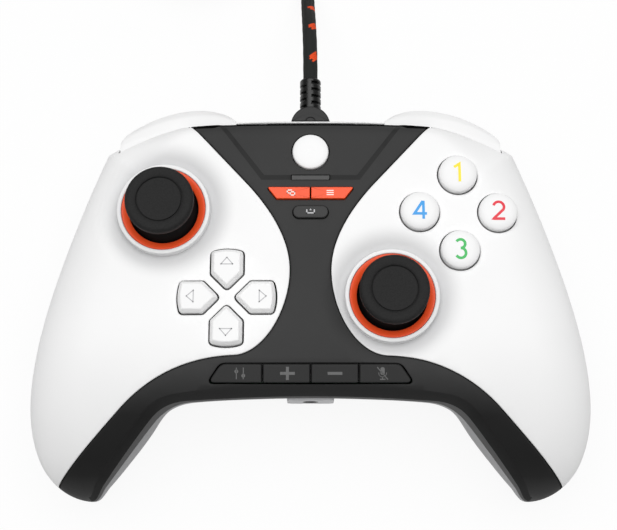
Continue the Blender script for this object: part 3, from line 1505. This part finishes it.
def make_centre_buttons():
    for node, cap, body, outline, depth, edge, look, slot in (
        ("view_button", "view_cap", "view_button_body", menu_outline(-1), 4, 0.18, ORANGE, "orange_plastic"),
        ("menu_button", "menu_cap", "menu_button_body", menu_outline(1), 4, 0.18, ORANGE, "orange_plastic"),
        (
            "share_button", "share_cap", "share_button_body", share_outline(), 4, 0.25, SHARE_DARK,
            "charcoal_plastic",
        ),
        ("light_bar", "light_lens", "housing", light_outline(), 3, 0.1, LIGHT, "grey_plastic"),
    ):
        high = top_of(node)
        loops = key_loops(shrinking(outline), high - depth, high, rounded(edge))
        piece = capped(cap, loops, look, body)
        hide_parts(node)
    low, high = corners("guide_button")
    t = high[2] - low[2]
    r = GUIDE_R
    profile = [
        (0, 0), (2.4, 0), (2.4, 4), (r + 0.6, 4), (r + 0.6, 5), (r, 5), (r, t - 0.9),
        *arc((r - 0.6, t - 0.9), 0.6, 0, 68, 5), (3.4, t - 0.13), (1.7, t - 0.03), (0, t),
    ]
    piece = lathe("guide_dome", profile, (*GUIDE, low[2]), WHITE, "guide_button_body")
    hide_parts("guide_button")
    for index, name in enumerate(LOWER_NAMES):
        loops = key_loops(shrinking(lower_outline(index)), -3.2, LOWER_TOP, LOWER_EDGE)
        loops = [on_lower(loop) for loop in loops]
        body = name + "_button_body"
        piece = capped(name + "_cap", loops, [KEY_DARK, BLACK], body, tag=flange_tag)
        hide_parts(name + "_button")


BUMPER_REACH = 5.2
BUMPER_END_R = 1.3
BUMPER_LOW_H = FACE_H - 14.7
BUMPER_FALL = 1.0
BUMPER_STATIONS = 56


def make_bumpers():
    """Bumpers through sections across them: e is the housing's edge and o the bumper's outer side."""
    for side, sign in (("left", -1), ("right", 1)):
        loops = []
        for i in range(BUMPER_STATIONS + 1):
            step = (1 - math.cos(math.pi * i / BUMPER_STATIONS)) / 2
            x = BUMPER_IN_X + (BUMPER_OUT_X - BUMPER_IN_X) * step
            t = (x - BUMPER_IN_X) / (BUMPER_SPAN_X - BUMPER_IN_X)
            end = max(0.0, 1 - (BUMPER_OUT_X - x) / BUMPER_END_R)
            e = float(rear_edge_y(x))
            o = e + 0.3 + BUMPER_REACH * math.sin(math.pi * t**0.72) ** 0.7 + 1.1 * t
            o -= BUMPER_END_R * (1 - math.sqrt(1 - end * end))
            b = BUMPER_LOW_H
            h = BUMPER_TOP_H - BUMPER_FALL * t * t
            section = filleted([
                (e - 3, b), (o - 1.4, b), (o - 0.2, b + 1.2), (o, h - 5), (o - 0.8, h - 2.6),
                ((o + e) / 2 - 0.2, h - 0.9), (e - 0.8, h - 0.2), (e - 3, h),
            ], [0.2, 1, 1, 3, 2, 3, 3, 0.2], 4)
            loops.append(np.column_stack([np.full(len(section), sign * x), section]))
        if sign > 0:
            loops = [loop[::-1] for loop in loops]
        piece = capped(side + "_shoulder", loops, WHITE, side + "_bumper_body", 45)
        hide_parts(side + "_bumper")


# Printed marks
MARK_T = 0.04


def mark(name, polygons, place, material, body):
    """Thin raised marks, a small plate for each polygon; place takes points of the drawing to the frame."""
    points, faces = [], []
    for polygon in polygons:
        polygon = counter_clockwise(np.array(polygon, float))
        first, count = len(points), len(polygon)
        for height in (-MARK_T, MARK_T):
            points.extend(place(extended(polygon, height)))
        faces.extend(stacked(count, 2, first))
    mesh_object(name, points, faces, material, body, 30)


def stroke(points, width, closed=False):
    """Quads along a line of points, with square ends."""
    points = [np.array(p, float) for p in points]
    if closed:
        points.append(points[0])
    out = []
    for a, b in zip(points[:-1], points[1:]):
        along = (b - a) / np.linalg.norm(b - a)
        side = np.array([-along[1], along[0]]) * width / 2
        reach = along * width / 2
        out.append([a - reach - side, b + reach - side, b + reach + side, a - reach + side])
    return out


def flat_at(x, y, height):
    return lambda points: points + [x, y, height]


def on_row(x):
    return lambda points: on_lower(points + [x, 0, LOWER_TOP])


LOWER_ICON_X = (-18.3, -6.0, 6.3, 18.6)
LOWER_ICONS = {
    "profile": [
        *(rectangle(x - 0.12, -1.5, x + 0.12, 1.5) for x in (-0.9, 0.9)),
        circle((-0.9, 0.5), 0.5, 20), circle((0.9, -0.6), 0.5, 20),
    ],
    "volume_up": [
        rectangle(-1.9, -0.38, 1.9, 0.38), rectangle(-0.38, -1.7, 0.38, -0.38),
        rectangle(-0.38, 0.38, 0.38, 1.7),
    ],
    "volume_down": [rectangle(-1.9, -0.38, 1.9, 0.38)],
    "mic_mute": [
        filleted(rectangle(-0.55, -0.4, 0.55, 1.6), 0.54, 6), *stroke(arc((0, 0.1), 1.0, 180, 360, 12), 0.24),
        rectangle(-0.12, -1.4, 0.12, -0.9), rectangle(-0.7, -1.65, 0.7, -1.4),
        *stroke([(-1.3, 1.5), (1.3, -1.5)], 0.26),
    ],
}
ARROW = np.array([(10.4, 0), (8.6, 1.55), (8.6, -1.55)])


def make_marks():
    high = top_of("view_button")
    squares = stroke([(-1.0, -0.1), (-1.0, 0.7), (0.15, 0.7)], 0.28) + [rectangle(-1.14, -0.24, -0.44, 0.04)]
    squares += stroke(rectangle(-0.2, -0.7, 1.0, 0.2), 0.28, True)
    mark("view_icon", squares, flat_at(-5.25, MENU_Y, high), ICON_WHITE, "view_button_body")
    bars = [rectangle(-0.95, y - 0.13, 0.95, y + 0.13) for y in (-0.58, 0.0, 0.58)]
    mark("menu_icon", bars, flat_at(5.25, MENU_Y, high), ICON_WHITE, "menu_button_body")
    high = top_of("share_button")
    tray = stroke([(-1.0, 0.3), (-1.0, -0.5), (1.0, -0.5), (1.0, 0.3)], 0.34)
    tray.append([(-0.34, 0.25), (0.34, 0.25), (0, 0.72)])
    mark("share_icon", tray, flat_at(0, SHARE_Y + 0.1, high), ICON_PALE, "share_button_body")
    for name, x in zip(LOWER_NAMES, LOWER_ICON_X):
        mark(name + "_icon", LOWER_ICONS[name], on_row(x), ICON_GREY, name + "_button_body")
    high = top_of("up_key")
    for name, turn in KEY_TURNS.items():
        arrow = stroke(ARROW @ spin(turn), 0.27, True)
        mark(name + "_arrow", arrow, flat_at(*DPAD, high), ICON_PALE, name + "_key_body")


# Pieces kept from the solids get their materials by slot
SLOT_LOOKS = {
    "white_plastic": WHITE, "charcoal_plastic": TRIM_DARK, "grey_plastic": GREY, "orange_plastic": ORANGE,
    "black_plastic": BLACK, "black_rubber": RELIEF, "steel": STEEL, "board": BOARD, "silicone": SILICONE,
    "braid": BLACK,
}
ROUNDED_NODES = {
    "left_trigger": 0.8, "right_trigger": 0.8, "usb_plug": 0.4, "usb_plug_shell": 0.15, "coil_ties": 0.4,
    "headset_jack": 0.2,
}


def dress_solids():
    for part in frame["record"]["subparts"]:
        solid = NODES[part["node"]]
        solid.data.materials.clear()
        solid.data.materials.append(SLOT_LOOKS[part["material_slot"]])
    for name, radius in ROUNDED_NODES.items():
        bevel = NODES[name].modifiers.new("rounded", "BEVEL")
        bevel.width = radius * MM
        bevel.segments = 3
        bevel.limit_method = "ANGLE"
        bevel.angle_limit = math.radians(35)
        bevel.harden_normals = True


# Floor and light
FLOOR_HALF = 2.0
FLOOR_Z = -0.0002
PAPER_SHARE = 0.9
WORLD_LEVEL = 0.27


def make_stage():
    flat = rectangle(-FLOOR_HALF, -FLOOR_HALF, FLOOR_HALF, FLOOR_HALF)
    mesh = bpy.data.meshes.new("floor")
    mesh.from_pydata([(x, y, 0) for x, y in flat], [], [(0, 1, 2, 3)])
    floor = add_object("floor", mesh)
    floor.location.z = FLOOR_Z
    look = Shader("floor")
    paper = look.node("ShaderNodeEmission")
    paper.inputs["Color"].default_value = (1, 1, 1, 1)
    look.set(Base_Color=(0.9, 0.9, 0.9, 1), Roughness=0.9)
    path = look.node("ShaderNodeLightPath")
    seen = look.math("MAXIMUM", path.outputs["Is Camera Ray"], path.outputs["Is Glossy Ray"])
    seen = look.math("MAXIMUM", seen, path.outputs["Is Transmission Ray"])
    blend = look.node("ShaderNodeMixShader")
    look.join(look.math("MULTIPLY", seen, PAPER_SHARE), blend.inputs[0])
    look.join(look.surface.outputs[0], blend.inputs[1])
    look.join(paper.outputs[0], blend.inputs[2])
    look.join(blend.outputs[0], look.tree.nodes["Material Output"].inputs["Surface"])
    mesh.materials.append(look.material)

    world = bpy.data.worlds.new("studio")
    bpy.context.scene.world = world
    world.use_nodes = True
    tree = world.node_tree
    background = tree.nodes["Background"]
    background.inputs["Color"].default_value = (1, 1, 1, 1)
    path = tree.nodes.new("ShaderNodeLightPath")
    level = tree.nodes.new("ShaderNodeMapRange")
    level.inputs["To Min"].default_value = WORLD_LEVEL
    level.inputs["To Max"].default_value = 1.0
    tree.links.new(path.outputs["Is Camera Ray"], level.inputs["Value"])
    tree.links.new(level.outputs["Result"], background.inputs["Strength"])


SOFTBOX_AT = (0.0, 0.12, 0.8)
SOFTBOX_AIM = (0.0, 0.0, 0.04)
SOFTBOX_SIZE = 1.0
SOFTBOX_POWER = 6.9


def make_softbox():
    data = bpy.data.lights.new("softbox", "AREA")
    data.shape = "DISK"
    data.size = SOFTBOX_SIZE
    data.energy = SOFTBOX_POWER
    aim_at(add_object("softbox", data), SOFTBOX_AT, SOFTBOX_AIM)


bpy.context.scene.view_settings.view_transform = "Standard"
make_camera()
make_cord()
make_stage()
make_softbox()
dress_solids()
make_front()
make_back()
make_boss()
make_sticks()
make_face_buttons()
make_keys()
make_centre_buttons()
make_bumpers()
make_marks()
